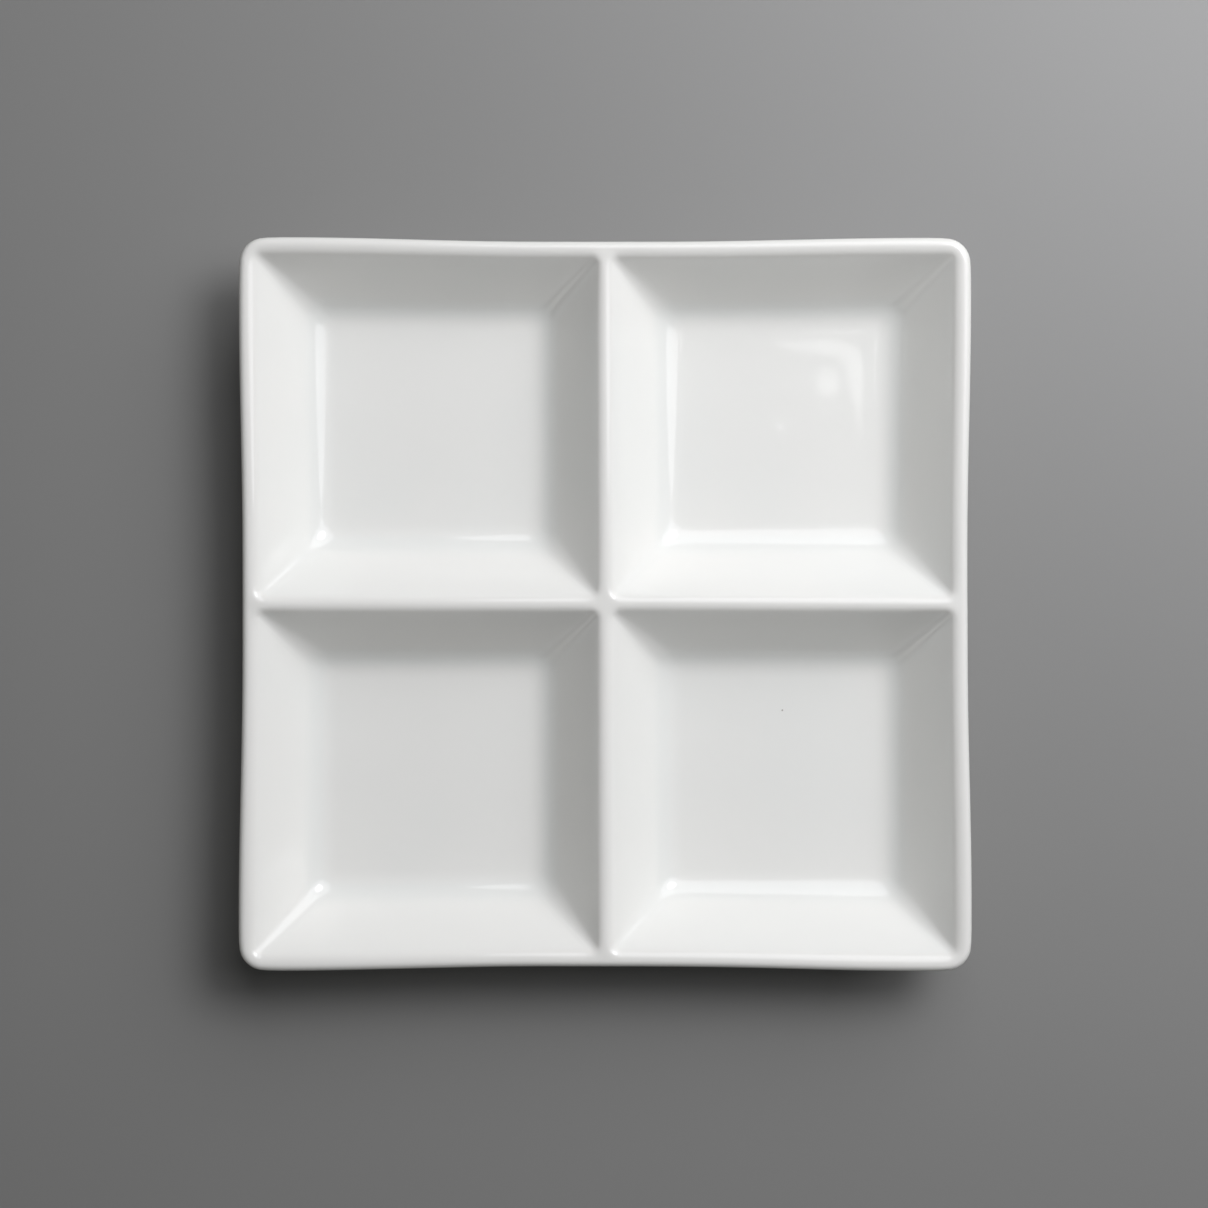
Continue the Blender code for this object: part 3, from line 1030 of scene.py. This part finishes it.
class DIVIDED_PLATE_OT_studio(Operator):
    """Set up the floor, the lamps and the camera"""

    bl_idname = "divided_plate.studio"
    bl_label = "Studio"
    bl_options = {"REGISTER", "UNDO"}

    def execute(self, context):
        plate = context.scene.divided_plate
        self.lay_floor(plate)
        self.hang_lamps(context, plate)
        self.place_camera(context, plate)
        return {"FINISHED"}

    def lay_floor(self, plate):
        """A wide flat floor that the plate stands on."""
        bpy.ops.object.select_all(action="DESELECT")
        bpy.ops.mesh.primitive_plane_add(size=FLOOR_SIDE)
        floor = bpy.context.object
        floor.name = "studio_floor"
        floor.data.materials.append(floor_material(plate.finishes))
        floor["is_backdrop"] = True

    def hang_lamp(self, context, name, shape, place, size, power):
        """An area lamp that faces straight down."""
        bpy.ops.object.light_add(type="AREA", location=place)
        lamp = context.object
        lamp.name = name
        lamp.visible_camera = False
        lamp.data.shape = shape
        lamp.data.size, lamp.data.size_y = size
        lamp.data.energy = power
        return lamp

    def hang_lamps(self, context, plate):
        """A large softbox, a dim card across from it, a small glint and light from all round."""
        studio = plate.studio
        toward = toward_lamp(studio.softbox_azimuth, studio.softbox_elevation)
        softbox = self.hang_lamp(
            context,
            "softbox",
            "ELLIPSE",
            toward * studio.softbox_distance,
            (studio.softbox_width, studio.softbox_height),
            studio.softbox_power,
        )
        softbox.rotation_euler = toward.to_track_quat("Z", "Y").to_euler()
        softbox.data.color = plate.finishes.softbox
        grade_softbox(softbox.data)

        toward = toward_lamp(studio.card_azimuth, studio.card_elevation)
        card = self.hang_lamp(
            context,
            "card",
            "RECTANGLE",
            toward * studio.card_distance,
            (studio.card_width, studio.card_height),
            studio.card_power,
        )
        card.rotation_euler = toward.to_track_quat("Z", "Y").to_euler()
        card.data.color = plate.finishes.card

        glint = self.hang_lamp(
            context,
            "glint",
            "RECTANGLE",
            (studio.glint_x, studio.glint_y, studio.glint_height),
            (studio.glint_width, studio.glint_depth),
            studio.glint_power,
        )
        shape_glint(glint.data)

        world = bpy.data.worlds.new("studio surround")
        world.use_nodes = True
        background = world.node_tree.nodes["Background"]
        background.inputs["Color"].default_value = (*plate.finishes.surround, 1)
        background.inputs["Strength"].default_value = 1.0
        context.scene.world = world

    def place_camera(self, context, plate):
        """A lens straight above, shifted so that the plate stays in the middle of the frame."""
        studio = plate.studio
        bpy.ops.object.camera_add(
            location=(studio.camera_x, studio.camera_y, studio.camera_height), rotation=(0, 0, 0)
        )
        camera = context.object
        camera.name = "camera"
        camera.data.lens = studio.focal_length
        camera.data.sensor_width = SENSOR_WIDTH
        above_rim = studio.camera_height - plate.sizes.height
        per_metre = studio.focal_length / SENSOR_WIDTH / above_rim
        camera.data.shift_x = -studio.camera_x * per_metre - studio.frame_x
        camera.data.shift_y = -studio.camera_y * per_metre - studio.frame_y
        camera.data.clip_start = NEAREST_SEEN
        context.scene.camera = camera
        context.scene.view_settings.view_transform = "Standard"


class DividedPlate(PropertyGroup):
    """All settings of the plate and its studio."""

    sizes: PointerProperty(type=PlateSizes)
    detail: PointerProperty(type=PlateDetail)
    finishes: PointerProperty(type=PlateFinishes)
    studio: PointerProperty(type=StudioSettings)


class DIVIDED_PLATE_PT_sidebar(Panel):
    """Lists the plate's pieces and its sizes"""

    bl_label = "Divided plate"
    bl_idname = "DIVIDED_PLATE_PT_sidebar"
    bl_space_type = "VIEW_3D"
    bl_region_type = "UI"
    bl_category = "Divided plate"

    def draw(self, context):
        column = self.layout.column(align=True)
        for operator in OPERATORS:
            column.operator(operator.bl_idname)
        plate = context.scene.divided_plate
        for group in (plate.sizes, plate.detail, plate.finishes, plate.studio):
            box = self.layout.box().column(align=True)
            for name in group.bl_rna.properties.keys():
                if name not in ("rna_type", "name"):
                    box.prop(group, name)


OPERATORS = (
    DIVIDED_PLATE_OT_porcelain_body,
    DIVIDED_PLATE_OT_glaze_coat,
    DIVIDED_PLATE_OT_base_glaze,
    DIVIDED_PLATE_OT_studio,
)
CLASSES = (
    PlateSizes,
    PlateDetail,
    PlateFinishes,
    StudioSettings,
    DividedPlate,
    *OPERATORS,
    DIVIDED_PLATE_PT_sidebar,
)


def register():
    """Add the classes and the settings."""
    for item in CLASSES:
        bpy.utils.register_class(item)
    bpy.types.Scene.divided_plate = PointerProperty(type=DividedPlate)


def unregister():
    """Take the settings and the classes away again."""
    del bpy.types.Scene.divided_plate
    for item in reversed(CLASSES):
        bpy.utils.unregister_class(item)


def main():
    """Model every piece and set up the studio."""
    register()
    bpy.ops.divided_plate.porcelain_body()
    bpy.ops.divided_plate.glaze_coat()
    bpy.ops.divided_plate.base_glaze()
    bpy.ops.divided_plate.studio()


if __name__ == "__main__":
    main()
